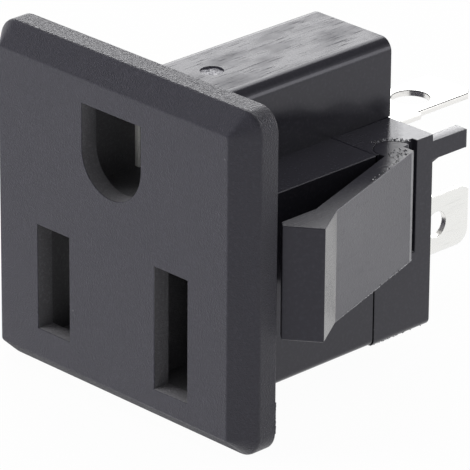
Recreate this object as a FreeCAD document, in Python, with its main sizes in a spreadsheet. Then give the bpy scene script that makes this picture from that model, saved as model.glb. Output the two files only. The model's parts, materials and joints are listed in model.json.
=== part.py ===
import FreeCAD, Part
import math
import os

import Sketcher
from FreeCAD import Vector

# Panel-mount power socket: a snap-in outlet with two blade slots and an earth hole.
# Millimetres. X is to the right as seen from the front, Y points into the panel and
# Z is up. The origin is the middle of the flange's back face, which seats on the panel.

SIZES = [
    ("side_lip", 4.8, "how far the flange stands out beside the body"),
    ("top_lip", 3.0, "how far the flange stands out above the tower"),
    ("low_lip", 2.3, "how far the flange stands out below the body"),
    ("flange_edge", 1.7, "straight part of the flange's edge"),
    ("bevel_depth", 1.75, "how far the sloped rim stands in front of that edge"),
    ("bevel_inset", 1.62, "how far the sloped rim comes in from the edge"),
    ("flange_corner", 1.8, "corner radius of the flange"),
    ("front_wall", 1.5, "wall that the slots pass through"),
    ("roof", 1.95, "wall over the blade chambers"),
    ("body_corner", 0.6, "radius along the body's lower edges"),
    ("housing_depth", 15.0, "flange's back face to the joint with the cover"),
    ("side_wall", 0.85, "outer walls of the blade chambers and the tower"),
    ("rib", 0.95, "walls between the chambers"),
    ("tower_overhang", 0.15, "how far the tower reaches behind the cover"),
    ("tower_fillet", 1.05, "radius along the tower's upper edges"),
    ("slot_spacing", 12.7, "distance between the two blade slots"),
    ("slot_drop", 5.42, "slot centres below the origin"),
    ("slot_width", 3.5, "width of both blade slots"),
    ("hot_slot", 8.5, "length of the short slot"),
    ("neutral_slot", 9.85, "length of the long slot"),
    ("slot_room", 0.105, "floor of the blade chambers below the long slot"),
    ("earth_rise", 11.89, "earth pin's axis above the slot centres"),
    ("earth_width", 6.3, "width of the earth hole"),
    ("earth_top", 3.58, "flat top of the earth hole above the pin's axis"),
    ("earth_floor", 3.17, "earth chamber's floor below the pin's axis"),
    ("earth_ceiling", 3.28, "earth chamber's ceiling above the pin's axis"),
    ("partition", 5.8, "block between the two blade chambers"),
    ("core_start", 0.6, "front end of the hollow in that block"),
    ("mark_radius", 0.9, "ejector mark on the tower"),
    ("mark_depth", 0.12, "depth of that mark"),
    ("mark_setback", 7.0, "mark's centre behind the flange"),
    ("mark_offset", 0.25, "mark's centre to the left of the middle"),
    ("cover_depth", 6.15, "rear cover, front to back"),
    ("cover_drop", 0.15, "how far the cover stands below the body"),
    ("cover_wall", 2.0, "rear wall of the cover"),
    ("seam", 0.12, "chamfer round the joint"),
    ("spigot", 1.2, "how far the cover's rims enter the chambers"),
    ("fit_gap", 0.08, "gap round the rims and the tongue"),
    ("slot_gap", 0.06, "gap round a strip in the cover's slots"),
    ("post_width", 1.1, "posts at the cover's rear corners, side to side"),
    ("post_height", 1.5, "posts, bottom to top"),
    ("post_length", 3.85, "posts, front to back"),
    ("post_drop", 0.6, "top of the posts below the body's top"),
    ("post_round", 0.3, "rounded ends of the posts"),
    ("gusset_length", 1.3, "small web under each post"),
    ("gusset_drop", 0.45, "height of that web"),
    ("gusset_width", 0.6, "thickness of that web"),
    ("root_radius", 1.5, "rounded root of a latch"),
    ("root_inset", 0.05, "root's centre inside the body's side"),
    ("root_setback", 1.9, "root's centre behind the joint with the cover"),
    ("root_gap", 0.05, "gap round the root in its groove"),
    ("heel_back", 0.9, "flat heel of a latch behind its root's centre"),
    ("heel_gap", 0.1, "gap between the heel and the cover's side"),
    ("pocket_depth", 0.5, "pocket beside the root, side to side"),
    ("pocket_reach", 2.5, "rear end of that pocket behind the root's centre"),
    ("latch_height", 9.05, "latch, bottom to top"),
    ("arm_angle", 18.0, "angle of the arm from the body's side"),
    ("arm_thickness", 1.5, "arm of the latch"),
    ("kick_out", 1.82, "how far the tip stands out beyond the arm"),
    ("kick_length", 3.02, "length of the part that leads out to the tip"),
    ("nose_setback", 0.77, "front of the latch behind the flange"),
    ("nose_width", 2.5, "sloped front face of the latch, side to side"),
    ("nose_slope", 1.88, "how far that face slopes forward"),
    ("nose_chamfer", 0.6, "inner corner of the nose, side to side"),
    ("nose_back", 0.5, "inner corner of the nose, front to back"),
    ("latch_round", 0.2, "radius along a latch's lower edges"),
    ("strip", 0.5, "thickness of the contact strip"),
    ("blade_gap", 1.4, "gap between the jaws of a blade contact"),
    ("pin_gap", 5.0, "gap between the jaws of the earth contact"),
    ("pinch", 0.12, "how far each jaw bows in"),
    ("flare", 0.5, "how far each jaw opens at its mouth"),
    ("mouth_setback", 0.4, "mouth of the jaws behind the flange"),
    ("pinch_setback", 3.0, "tightest place of the jaws behind the flange"),
    ("jaw_setback", 6.5, "front end of the straight part of the jaws"),
    ("jaw_room", 1.8, "gap between the jaws' rear end and the cover's rims"),
    ("mouth_gap", 0.15, "gap beside the open mouth of a blade contact"),
    ("channel_gap", 0.05, "gap beside the open mouth of the earth contact"),
    ("jaw_height", 7.0, "height of the jaws of a blade contact"),
    ("bend", 0.35, "outer radius of a bend"),
    ("tab_width", 4.8, "width of the tabs"),
    ("tab_reach", 7.7, "blade contacts' tabs behind the cover"),
    ("tab_hole", 1.05, "radius of the hole in those tabs"),
    ("tab_hole_reach", 4.2, "that hole's centre behind the cover"),
    ("tab_round", 1.2, "lower corner of those tabs"),
    ("tab_clip", 0.6, "upper corner of those tabs"),
    ("earth_jaw_height", 5.2, "height of the jaws of the earth contact"),
    ("earth_lift", 0.05, "gap under the earth contact's base"),
    ("earth_mouth", 1.8, "earth contact's mouth behind those of the blade contacts"),
    ("joggle", 1.2, "step down in the earth contact's strip"),
    ("joggle_angle", 45.0, "slope of that step"),
    ("joggle_inset", 1.2, "front end of that step behind the joint"),
    ("shoulder_inset", 0.2, "narrowing of each side of the strip in the cover's slot"),
    ("tab_inset", 0.4, "narrowing of each side of the strip where its tab begins"),
    ("shoulder_reach", 5.25, "rear end of that width behind the cover"),
    ("earth_tab_reach", 11.5, "earth tab's end behind the cover"),
    ("earth_hole", 1.5, "radius of the hole in the earth tab"),
    ("earth_hole_reach", 6.95, "that hole's centre behind the cover"),
    ("earth_clip", 0.6, "corners of the earth tab"),
]

# Places worked out from those sizes
FLANGE = "(Sizes.flange_edge + Sizes.bevel_depth)"
SLOT_X = "(Sizes.slot_spacing / 2)"
PIN_HEIGHT = "(Sizes.earth_rise - Sizes.slot_drop)"
EARTH_FLOOR = f"({PIN_HEIGHT} - Sizes.earth_floor)"
CHAMBER_FRONT = f"({FLANGE} - Sizes.front_wall)"
CHAMBER_IN = "(Sizes.partition / 2)"
CHAMBER_OUT = f"({SLOT_X} + Sizes.blade_gap / 2 + Sizes.flare + Sizes.strip + Sizes.mouth_gap)"
CHAMBER_LOW = "(-Sizes.slot_drop - Sizes.neutral_slot / 2 - Sizes.slot_room)"
CHAMBER_TOP = f"({EARTH_FLOOR} - Sizes.rib)"
SIDE = f"({CHAMBER_OUT} + Sizes.side_wall)"
BODY_LOW = f"({CHAMBER_LOW} - Sizes.side_wall)"
BODY_TOP = f"({CHAMBER_TOP} + Sizes.roof)"
CHANNEL_SIDE = "(Sizes.pin_gap / 2 + Sizes.flare + Sizes.strip + Sizes.channel_gap)"
CHANNEL_TOP = f"({PIN_HEIGHT} + Sizes.earth_ceiling)"
TOWER_SIDE = f"({CHANNEL_SIDE} + Sizes.side_wall)"
TOWER_TOP = f"({CHANNEL_TOP} + Sizes.side_wall)"
CORE_SIDE = f"({CHAMBER_IN} - Sizes.rib)"
COVER_BACK = "(Sizes.housing_depth + Sizes.cover_depth)"
COVER_INSIDE = f"({COVER_BACK} - Sizes.cover_wall)"
TOWER_BACK = f"({COVER_BACK} + Sizes.tower_overhang)"
LATCH_LOW = f"({BODY_TOP} - Sizes.latch_height)"
ROOT_X = f"({SIDE} - Sizes.root_inset)"
ROOT_Y = "(Sizes.housing_depth + Sizes.root_setback)"
JAW_END = "(Sizes.housing_depth - Sizes.spigot - Sizes.jaw_room)"
TAB_X = f"({SLOT_X} - Sizes.blade_gap / 2 - Sizes.strip / 2)"
EARTH_BASE = "(Sizes.pin_gap + 2 * Sizes.strip)"
BASE_LOW = f"({EARTH_FLOOR} + Sizes.earth_lift)"
STRIP_LOW = f"({BASE_LOW} - Sizes.joggle)"

TOLERANCE = 0.0001
RIGHT, LEFT = 1, -1
FRONT_VIEW, TOP_VIEW, SIDE_VIEW = "XZ_Plane", "XY_Plane", "YZ_Plane"


def make_sheet(doc):
    """Write the driving sizes into the spreadsheet, one alias to a row."""
    sheet = doc.addObject("Spreadsheet::Sheet", "Sizes")
    for row, (alias, value, meaning) in enumerate(SIZES, start=1):
        sheet.set(f"A{row}", meaning)
        sheet.set(f"B{row}", str(value))
        sheet.setAlias(f"B{row}", alias)
    doc.recompute()
    return sheet


def amount(owner, expression):
    """The number that an expression stands for."""
    return float(owner.evalExpression(expression))


def new_body(doc, label):
    body = doc.addObject("PartDesign::Body", label)
    body.Label = label
    return body


def sketch_on(body, name, role, offset="0"):
    """A sketch on one of the body's own planes, moved along that plane's normal."""
    plane = [item for item in body.Origin.OriginFeatures if item.Role == role][0]
    sketch = body.newObject("Sketcher::SketchObject", name)
    sketch.AttachmentSupport = [(plane, "")]
    sketch.MapMode = "FlatFace"
    sketch.setExpression("AttachmentOffset.Base.z", offset)
    return sketch


def place_point(sketch, geometry, position, point):
    """Tie one point of a sketch to the origin by two expressions."""
    for kind, expression in zip(("DistanceX", "DistanceY"), point):
        value = amount(sketch, expression)
        rule = Sketcher.Constraint(kind, -1, 1, geometry, position, value)
        index = sketch.addConstraint(rule)
        sketch.setExpression(f"Constraints[{index}]", expression)


def spot(sketch, point):
    """The place that two expressions stand for."""
    return Vector(amount(sketch, point[0]), amount(sketch, point[1]), 0)


def path(sketch, points):
    """Straight lines through the points, joined end to end."""
    first = sketch.GeometryCount
    for start, end in zip(points, points[1:]):
        sketch.addGeometry(Part.LineSegment(spot(sketch, start), spot(sketch, end)), False)
    last = sketch.GeometryCount - 1
    for index in range(first, last):
        sketch.addConstraint(Sketcher.Constraint("Coincident", index, 2, index + 1, 1))
    for index, point in enumerate(points[:-1], start=first):
        place_point(sketch, index, 1, point)
    return first, last


def outline(sketch, points):
    """A closed outline of straight lines through the points."""
    first, last = path(sketch, points + points[:1])
    sketch.addConstraint(Sketcher.Constraint("Coincident", last, 2, first, 1))


def outline_with_arc(sketch, points, centre, radius, clockwise):
    """Straight lines through the points, closed by an arc round the centre."""
    first, last = path(sketch, points)
    place_point(sketch, last, 2, points[-1])
    middle, size = spot(sketch, centre), amount(sketch, radius)
    ends = [spot(sketch, points[-1]) - middle, spot(sketch, points[0]) - middle]
    if clockwise:
        ends.reverse()
    angles = [math.atan2(end.y, end.x) for end in ends]
    ring = Part.Circle(middle, Vector(0, 0, 1), size)
    arc = sketch.addGeometry(Part.ArcOfCircle(ring, *angles), False)
    for line, end, position in ((last, 2, 1), (first, 1, 2)):
        if clockwise:
            position = 3 - position
        sketch.addConstraint(Sketcher.Constraint("Coincident", line, end, arc, position))
    rule = sketch.addConstraint(Sketcher.Constraint("Radius", arc, size))
    sketch.setExpression(f"Constraints[{rule}]", radius)


def rectangle(sketch, left, low, right, high):
    outline(sketch, [(left, low), (right, low), (right, high), (left, high)])


def circle(sketch, centre, radius):
    size = amount(sketch, radius)
    ring = Part.Circle(spot(sketch, centre), Vector(0, 0, 1), size)
    index = sketch.addGeometry(ring, False)
    place_point(sketch, index, 3, centre)
    rule = sketch.addConstraint(Sketcher.Constraint("Radius", index, size))
    sketch.setExpression(f"Constraints[{rule}]", radius)


def extrude(body, kind, sketch, length, reverse):
    """A Pad or Pocket of a sketch, checked to change the solid's volume."""
    doc = body.Document
    before = body.Shape.Volume if body.Tip else 0.0
    feature = body.newObject(f"PartDesign::{kind}", f"{kind}{sketch.Name}")
    feature.Profile = sketch
    feature.setExpression("Length", length)
    feature.Reversed = reverse
    doc.recompute()
    grown = body.Shape.Volume - before
    if (kind == "Pad" and grown <= 0) or (kind == "Pocket" and grown >= 0):
        raise ValueError(f"{feature.Name} changes nothing")
    return feature


def pad(body, sketch, length, reverse=False):
    return extrude(body, "Pad", sketch, length, reverse)


def pocket(body, sketch, length, reverse=False):
    return extrude(body, "Pocket", sketch, length, reverse)


def edges_where(shape, test):
    """Names of the edges whose middle point passes the test."""
    names = []
    for index, edge in enumerate(shape.Edges, start=1):
        middle = edge.valueAt((edge.FirstParameter + edge.LastParameter) / 2)
        if test(middle, edge):
            names.append(f"Edge{index}")
    return names


def near(value, target):
    return abs(value - target) < TOLERANCE


def along(edge, axis):
    """True where a straight edge runs along the axis."""
    if not isinstance(edge.Curve, Part.Line):
        return False
    return near(abs(edge.Curve.Direction.dot(axis)), 1)


def dress(body, kind, base, names, **sizes):
    """A Fillet or Chamfer on the named edges of a feature."""
    if not names:
        raise ValueError(f"{kind} on {base.Name} finds no edge")
    feature = body.newObject(f"PartDesign::{kind}", f"{kind}{base.Name}")
    feature.Base = (base, names)
    for name, expression in sizes.items():
        feature.setExpression(name, expression)
    body.Document.recompute()
    return feature


def two_sides(expression):
    """The same size on the left and on the right of the middle."""
    return f"-({expression})", expression


def sided(side, expression):
    return expression if side == RIGHT else f"-({expression})"


def block(body, name, role, offset, corners, length, reverse=False):
    """A padded rectangle."""
    sketch = sketch_on(body, name, role, offset)
    rectangle(sketch, *corners)
    return pad(body, sketch, length, reverse)


def hollow(body, name, role, offset, corners, length, reverse=False):
    """A pocketed rectangle."""
    sketch = sketch_on(body, name, role, offset)
    rectangle(sketch, *corners)
    return pocket(body, sketch, length, reverse)


# Front housing

def build_flange(body):
    left, right = two_sides(f"({SIDE} + Sizes.side_lip)")
    low, high = f"{BODY_LOW} - Sizes.low_lip", f"{TOWER_TOP} + Sizes.top_lip"
    plate = block(body, "Flange", FRONT_VIEW, "0", (left, low, right, high), FLANGE)
    corners = edges_where(plate.Shape, lambda middle, edge: along(edge, Vector(0, 1, 0)))
    rounded = dress(body, "Fillet", plate, corners, Radius="Sizes.flange_corner")
    front = -amount(body, FLANGE)
    rim = edges_where(rounded.Shape, lambda middle, edge: near(middle.y, front))
    bevel = body.newObject("PartDesign::Chamfer", "Bevel")
    bevel.Base = (rounded, rim[:1])
    bevel.ChamferType = "Two distances"
    bevel.setExpression("Size", "Sizes.bevel_depth")
    bevel.setExpression("Size2", "Sizes.bevel_inset")
    body.Document.recompute()


def build_body_block(body):
    left, right = two_sides(SIDE)
    corners = (left, BODY_LOW, right, BODY_TOP)
    solid = block(body, "Block", FRONT_VIEW, "0", corners, "Sizes.housing_depth", True)
    low = amount(body, BODY_LOW)
    edges = edges_where(
        solid.Shape,
        lambda middle, edge: along(edge, Vector(0, 1, 0)) and near(middle.z, low),
    )
    dress(body, "Fillet", solid, edges, Radius="Sizes.body_corner")


def build_tower(body):
    left, right = two_sides(TOWER_SIDE)
    corners = (left, BODY_TOP, right, TOWER_TOP)
    solid = block(body, "Tower", FRONT_VIEW, "0", corners, TOWER_BACK, True)
    top = amount(body, TOWER_TOP)
    edges = edges_where(
        solid.Shape,
        lambda middle, edge: along(edge, Vector(0, 1, 0)) and near(middle.z, top),
    )
    dress(body, "Fillet", solid, edges, Radius="Sizes.tower_fillet")


def cut_blade_chamber(body, side, slot_length):
    """One blade slot and the wider chamber behind it, open to the rear."""
    name = "Neutral" if side == RIGHT else "Hot"
    middle = "-Sizes.slot_drop"
    edges = [sided(side, f"({SLOT_X} {sign} Sizes.slot_width / 2)") for sign in "-+"]
    corners = (edges[0], f"{middle} - {slot_length} / 2")
    corners += (edges[1], f"{middle} + {slot_length} / 2")
    hollow(body, f"{name}Slot", FRONT_VIEW, "0", corners, FLANGE, True)
    corners = (sided(side, CHAMBER_IN), CHAMBER_LOW, sided(side, CHAMBER_OUT), CHAMBER_TOP)
    depth = f"{CHAMBER_FRONT} + Sizes.housing_depth"
    hollow(body, f"{name}Chamber", FRONT_VIEW, CHAMBER_FRONT, corners, depth)


def cut_earth_channel(body):
    """The round-bottomed earth hole and the channel behind it."""
    left, right = two_sides("Sizes.earth_width / 2")
    top = f"{PIN_HEIGHT} + Sizes.earth_top"
    hollow(body, "EarthHole", FRONT_VIEW, "0", (left, PIN_HEIGHT, right, top), FLANGE, True)
    sketch = sketch_on(body, "EarthRound", FRONT_VIEW)
    circle(sketch, ("0", PIN_HEIGHT), "Sizes.earth_width / 2")
    pocket(body, sketch, FLANGE, True)
    left, right = two_sides(CHANNEL_SIDE)
    depth = f"{CHAMBER_FRONT} + {TOWER_BACK}"
    corners = (left, EARTH_FLOOR, right, CHANNEL_TOP)
    hollow(body, "EarthChannel", FRONT_VIEW, CHAMBER_FRONT, corners, depth)


def cut_core(body):
    """The hollow that keeps the block between the chambers thin-walled."""
    left, right = two_sides(CORE_SIDE)
    depth = "Sizes.housing_depth - Sizes.core_start"
    corners = (left, CHAMBER_LOW, right, CHAMBER_TOP)
    hollow(body, "Core", FRONT_VIEW, "-Sizes.core_start", corners, depth)


def cut_ejector_mark(body):
    sketch = sketch_on(body, "EjectorMark", TOP_VIEW, TOWER_TOP)
    circle(sketch, ("-Sizes.mark_offset", "Sizes.mark_setback"), "Sizes.mark_radius")
    pocket(body, sketch, "Sizes.mark_depth")


def build_front_housing(doc):
    body = new_body(doc, "front_housing")
    build_flange(body)
    build_body_block(body)
    build_tower(body)
    cut_blade_chamber(body, RIGHT, "Sizes.neutral_slot")
    cut_blade_chamber(body, LEFT, "Sizes.hot_slot")
    cut_earth_channel(body)
    cut_core(body)
    cut_ejector_mark(body)
    return body


# Rear cover

def build_cover_shell(body):
    left, right = two_sides(SIDE)
    low = f"({BODY_LOW} - Sizes.cover_drop)"
    corners = (left, low, right, BODY_TOP)
    shell = block(body, "Shell", FRONT_VIEW, f"-{COVER_BACK}", corners, "Sizes.cover_depth")
    bottom = amount(body, low)
    edges = edges_where(
        shell.Shape,
        lambda middle, edge: along(edge, Vector(0, 1, 0)) and near(middle.z, bottom),
    )
    rounded = dress(body, "Fillet", shell, edges, Radius="Sizes.body_corner")
    joint = amount(body, "Sizes.housing_depth")
    rim = edges_where(rounded.Shape, lambda middle, edge: near(middle.y, joint))
    dress(body, "Chamfer", rounded, rim, Size="Sizes.seam")


def build_tongue(body):
    """The upright tongue that closes the rear end of the tower."""
    left, right = two_sides(f"({CHANNEL_SIDE} - Sizes.fit_gap)")
    corners = (left, BODY_TOP, right, f"{CHANNEL_TOP} - Sizes.fit_gap")
    block(body, "Tongue", FRONT_VIEW, f"-{COVER_BACK}", corners, "Sizes.cover_wall")


def build_rim(body, side):
    """The rim that enters a blade chamber."""
    name = "Neutral" if side == RIGHT else "Hot"
    inner = sided(side, f"({CHAMBER_IN} + Sizes.fit_gap)")
    outer = sided(side, f"({CHAMBER_OUT} - Sizes.fit_gap)")
    corners = (inner, f"{CHAMBER_LOW} + Sizes.fit_gap", outer, f"{CHAMBER_TOP} - Sizes.fit_gap")
    block(body, f"{name}Rim", FRONT_VIEW, "-Sizes.housing_depth", corners, "Sizes.spigot")


def cut_cover_cavity(body, side):
    """The hollow round a blade contact's shank, and the slot for its tab."""
    name = "Neutral" if side == RIGHT else "Hot"
    inner = sided(side, f"({CHAMBER_IN} + Sizes.rib)")
    outer = sided(side, f"({ROOT_X} - Sizes.root_radius - Sizes.side_wall)")
    corners = (inner, f"{CHAMBER_LOW} + Sizes.rib", outer, f"{CHAMBER_TOP} - Sizes.rib")
    front = "(Sizes.housing_depth - Sizes.spigot)"
    hollow(body, f"{name}Cavity", FRONT_VIEW, f"-{front}", corners, f"{COVER_INSIDE} - {front}")
    half = "(Sizes.strip / 2 + Sizes.slot_gap)"
    tall = "(Sizes.tab_width / 2 + Sizes.slot_gap)"
    corners = (sided(side, f"({TAB_X} - {half})"), f"-Sizes.slot_drop - {tall}")
    corners += (sided(side, f"({TAB_X} + {half})"), f"-Sizes.slot_drop + {tall}")
    hollow(body, f"{name}Way", FRONT_VIEW, f"-{COVER_BACK}", corners, "Sizes.cover_wall", True)


def cut_earth_way(body):
    """The open passage that the earth strip steps down through, and its slot."""
    left, right = two_sides(f"({EARTH_BASE} / 2 + Sizes.fit_gap)")
    corners = (left, f"{STRIP_LOW} - Sizes.fit_gap", right, BODY_TOP)
    depth = f"{COVER_INSIDE} - Sizes.housing_depth"
    hollow(body, "EarthPassage", FRONT_VIEW, "-Sizes.housing_depth", corners, depth)
    left, right = two_sides(f"({EARTH_BASE} / 2 - Sizes.shoulder_inset + Sizes.slot_gap)")
    high = f"{STRIP_LOW} + Sizes.strip + Sizes.slot_gap"
    corners = (left, f"{STRIP_LOW} - Sizes.slot_gap", right, high)
    hollow(body, "EarthWay", FRONT_VIEW, f"-{COVER_BACK}", corners, "Sizes.cover_wall", True)


def cut_cover_core(body):
    left, right = two_sides(CORE_SIDE)
    corners = (left, CHAMBER_LOW, right, f"{STRIP_LOW} - Sizes.fit_gap - Sizes.rib")
    depth = f"{COVER_INSIDE} - Sizes.housing_depth"
    hollow(body, "CoverCore", FRONT_VIEW, "-Sizes.housing_depth", corners, depth)


def build_post(body, side):
    """A post at the cover's rear corner, with a small web under it."""
    name = "Right" if side == RIGHT else "Left"
    inner = sided(side, f"({SIDE} - Sizes.post_width)")
    outer = sided(side, SIDE)
    high = f"{BODY_TOP} - Sizes.post_drop"
    low = f"{high} - Sizes.post_height"
    corners = (inner, low, outer, high)
    post = block(
        body, f"{name}Post", FRONT_VIEW, f"-{COVER_BACK}", corners, "Sizes.post_length", True
    )
    end = amount(body, f"{COVER_BACK} + Sizes.post_length")
    rim = edges_where(
        post.Shape,
        lambda middle, edge: near(middle.y, end) and middle.x * side > 0,
    )
    dress(body, "Fillet", post, rim, Radius="Sizes.post_round")
    start = f"({SIDE} - Sizes.post_width / 2 - Sizes.gusset_width / 2)"
    offset = start if side == RIGHT else f"-({start} + Sizes.gusset_width)"
    web = sketch_on(body, f"{name}Web", SIDE_VIEW, offset)
    bottom = f"{low} - Sizes.gusset_drop"
    reach = f"{COVER_BACK} + Sizes.gusset_length"
    outline(web, [(COVER_BACK, low), (COVER_BACK, bottom), (reach, low)])
    pad(body, web, "Sizes.gusset_width")


def cut_root_groove(body, side):
    """The round groove that holds a latch's root."""
    name = "Right" if side == RIGHT else "Left"
    sketch = sketch_on(body, f"{name}Groove", TOP_VIEW, f"{LATCH_LOW} - Sizes.root_gap")
    centre = (sided(side, ROOT_X), ROOT_Y)
    circle(sketch, centre, "Sizes.root_radius + Sizes.root_gap")
    pocket(body, sketch, "Sizes.latch_height + Sizes.root_gap", True)


def cut_heel_pocket(body, side):
    """The pocket in the cover's side, behind the latch's root and open at the top."""
    name = "Right" if side == RIGHT else "Left"
    inner = sided(side, f"({SIDE} - Sizes.pocket_depth)")
    corners = (inner, f"{LATCH_LOW} - Sizes.root_gap", sided(side, SIDE), BODY_TOP)
    hollow(body, f"{name}Pocket", FRONT_VIEW, f"-{ROOT_Y}", corners, "Sizes.pocket_reach")


def build_rear_cover(doc):
    body = new_body(doc, "rear_cover")
    build_cover_shell(body)
    build_tongue(body)
    for side in (RIGHT, LEFT):
        build_rim(body, side)
        build_post(body, side)
    for side in (RIGHT, LEFT):
        cut_cover_cavity(body, side)
        cut_root_groove(body, side)
        cut_heel_pocket(body, side)
    cut_earth_way(body)
    cut_cover_core(body)
    return body


# Snap latches

def latch_points(side):
    """The arm's outline from above, from its round root out to the nose and back."""
    across, back = "cos(Sizes.arm_angle)", "sin(Sizes.arm_angle)"
    root_in = "(Sizes.root_radius - Sizes.arm_thickness)"
    chord = f"sqrt(Sizes.root_radius ^ 2 - {root_in} ^ 2)"
    start_in = (
        f"({ROOT_X} + {root_in} * {across} + {chord} * {back})",
        f"({ROOT_Y} + {root_in} * {back} - {chord} * {across})",
    )
    start_out = (
        f"({ROOT_X} + Sizes.root_radius * {across})",
        f"({ROOT_Y} + Sizes.root_radius * {back})",
    )
    tip_y = "(Sizes.nose_setback + Sizes.nose_slope)"
    outer_y = f"({tip_y} + Sizes.kick_length)"
    outer_x = f"({start_out[0]} + ({start_out[1]} - {outer_y}) * tan(Sizes.arm_angle))"
    tip_x = f"({outer_x} + Sizes.kick_out)"
    nose_x = f"({tip_x} - Sizes.nose_width)"
    heel_y = f"({ROOT_Y} + Sizes.heel_back)"
    heel_x = f"({start_out[0]} - ({heel_y} - {start_out[1]}) * tan(Sizes.arm_angle))"
    heel_in = f"({SIDE} + Sizes.heel_gap)"
    rise = f"sqrt(Sizes.root_radius ^ 2 - ({heel_in} - {ROOT_X}) ^ 2)"
    inner_x = f"({nose_x} - Sizes.nose_chamfer)"
    run = f"(({inner_x} - {start_in[0]}) / tan(Sizes.arm_angle))"
    points = [
        start_in,
        (inner_x, f"{start_in[1]} - {run}"),
        (inner_x, "Sizes.nose_setback + Sizes.nose_back"),
        (nose_x, "Sizes.nose_setback"),
        (tip_x, tip_y),
        (outer_x, outer_y),
        (heel_x, heel_y),
        (heel_in, heel_y),
        (heel_in, f"({ROOT_Y} + {rise})"),
    ]
    return [(sided(side, x), y) for x, y in points]


def build_latch(doc, side):
    """A springy arm with a round root, a flat heel, an outward kick and a sloped nose."""
    body = new_body(doc, "snap_latch_right" if side == RIGHT else "snap_latch_left")
    arm = sketch_on(body, "Arm", TOP_VIEW, LATCH_LOW)
    centre = (sided(side, ROOT_X), ROOT_Y)
    outline_with_arc(arm, latch_points(side), centre, "Sizes.root_radius", side == LEFT)
    solid = pad(body, arm, "Sizes.latch_height")
    low = amount(body, LATCH_LOW)
    edges = edges_where(solid.Shape, lambda middle, edge: near(middle.z, low))
    dress(body, "Fillet", solid, edges, Radius="Sizes.latch_round")
    return body


# Contacts

def jaw_outline(sketch, side, face_x, toward, deeper="0"):
    """A sprung jaw from above: straight, then bowed in, then flared at its mouth.

    face_x is the gripping face, and toward is +1 where the gap lies on the far side
    of it from the middle of the socket. deeper moves the jaw's front back.
    """
    stations = [
        (JAW_END, "0"),
        (f"(Sizes.jaw_setback + {deeper})", "0"),
        (f"(Sizes.pinch_setback + {deeper})", "Sizes.pinch"),
        (f"(Sizes.mouth_setback + {deeper})", "-Sizes.flare"),
    ]
    sign = "+" if toward > 0 else "-"
    grip = [(f"({face_x} {sign} ({bow}))", y) for y, bow in stations]
    far = "-" if toward > 0 else "+"
    outside = [(f"({x} {far} Sizes.strip)", y) for x, y in reversed(grip)]
    outline(sketch, [(sided(side, x), y) for x, y in grip + outside])


def round_bends(body, solid, low, outsides):
    """Round the folds under the jaws, which run front to back at these places."""
    height = amount(body, low)
    places = [amount(body, place) for place in outsides]
    edges = edges_where(
        solid.Shape,
        lambda middle, edge: along(edge, Vector(0, 1, 0))
        and near(middle.z, height)
        and any(near(middle.x, place) for place in places),
    )
    dress(body, "Fillet", solid, edges, Radius="Sizes.bend")


def build_blade_contact(doc, side):
    """One folded strip: two sprung jaws, a bridge under them and a flat tab."""
    body = new_body(doc, "neutral_contact" if side == RIGHT else "hot_contact")
    low = "(-Sizes.slot_drop - Sizes.jaw_height / 2)"
    inner_face = f"({SLOT_X} - Sizes.blade_gap / 2)"
    outer_face = f"({SLOT_X} + Sizes.blade_gap / 2)"
    jaw = sketch_on(body, "InnerJaw", TOP_VIEW, low)
    jaw_outline(jaw, side, inner_face, 1)
    pad(body, jaw, "Sizes.jaw_height")
    bridge = sketch_on(body, "Bridge", TOP_VIEW, low)
    inside = sided(side, f"({inner_face} - Sizes.strip)")
    outside = sided(side, f"({outer_face} + Sizes.strip)")
    rectangle(bridge, inside, "Sizes.jaw_setback", outside, JAW_END)
    pad(body, bridge, "Sizes.strip")
    jaw = sketch_on(body, "OuterJaw", TOP_VIEW, low)
    jaw_outline(jaw, side, outer_face, -1)
    solid = pad(body, jaw, "Sizes.jaw_height")
    round_bends(body, solid, low, (inside, outside))
    build_blade_tab(body, side)
    return body


def build_blade_tab(body, side):
    """The inner jaw's strip carries on through the cover and narrows to a tab."""
    middle = "(-Sizes.slot_drop)"
    half_jaw, half_tab = "(Sizes.jaw_height / 2)", "(Sizes.tab_width / 2)"
    start = f"({TAB_X} - Sizes.strip / 2)"
    offset = start if side == RIGHT else f"-({start} + Sizes.strip)"
    end = f"({COVER_BACK} + Sizes.tab_reach)"
    shank = sketch_on(body, "Shank", SIDE_VIEW, offset)
    outline(
        shank,
        [
            (JAW_END, f"{middle} - {half_jaw}"),
            (COVER_INSIDE, f"{middle} - {half_jaw}"),
            (COVER_INSIDE, f"{middle} - {half_tab}"),
            (end, f"{middle} - {half_tab}"),
            (end, f"{middle} + {half_tab} - Sizes.tab_clip / 2"),
            (f"{end} - Sizes.tab_clip", f"{middle} + {half_tab}"),
            (COVER_INSIDE, f"{middle} + {half_tab}"),
            (COVER_INSIDE, f"{middle} + {half_jaw}"),
            (JAW_END, f"{middle} + {half_jaw}"),
        ],
    )
    solid = pad(body, shank, "Sizes.strip")
    rear, low = amount(body, end), amount(body, f"{middle} - {half_tab}")
    corner = edges_where(
        solid.Shape,
        lambda place, edge: near(place.y, rear) and near(place.z, low),
    )
    dress(body, "Fillet", solid, corner, Radius="Sizes.tab_round")
    hole = sketch_on(body, "TabHole", SIDE_VIEW, offset)
    circle(hole, (f"{COVER_BACK} + Sizes.tab_hole_reach", middle), "Sizes.tab_hole")
    pocket(body, hole, "Sizes.strip", True)


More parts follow.
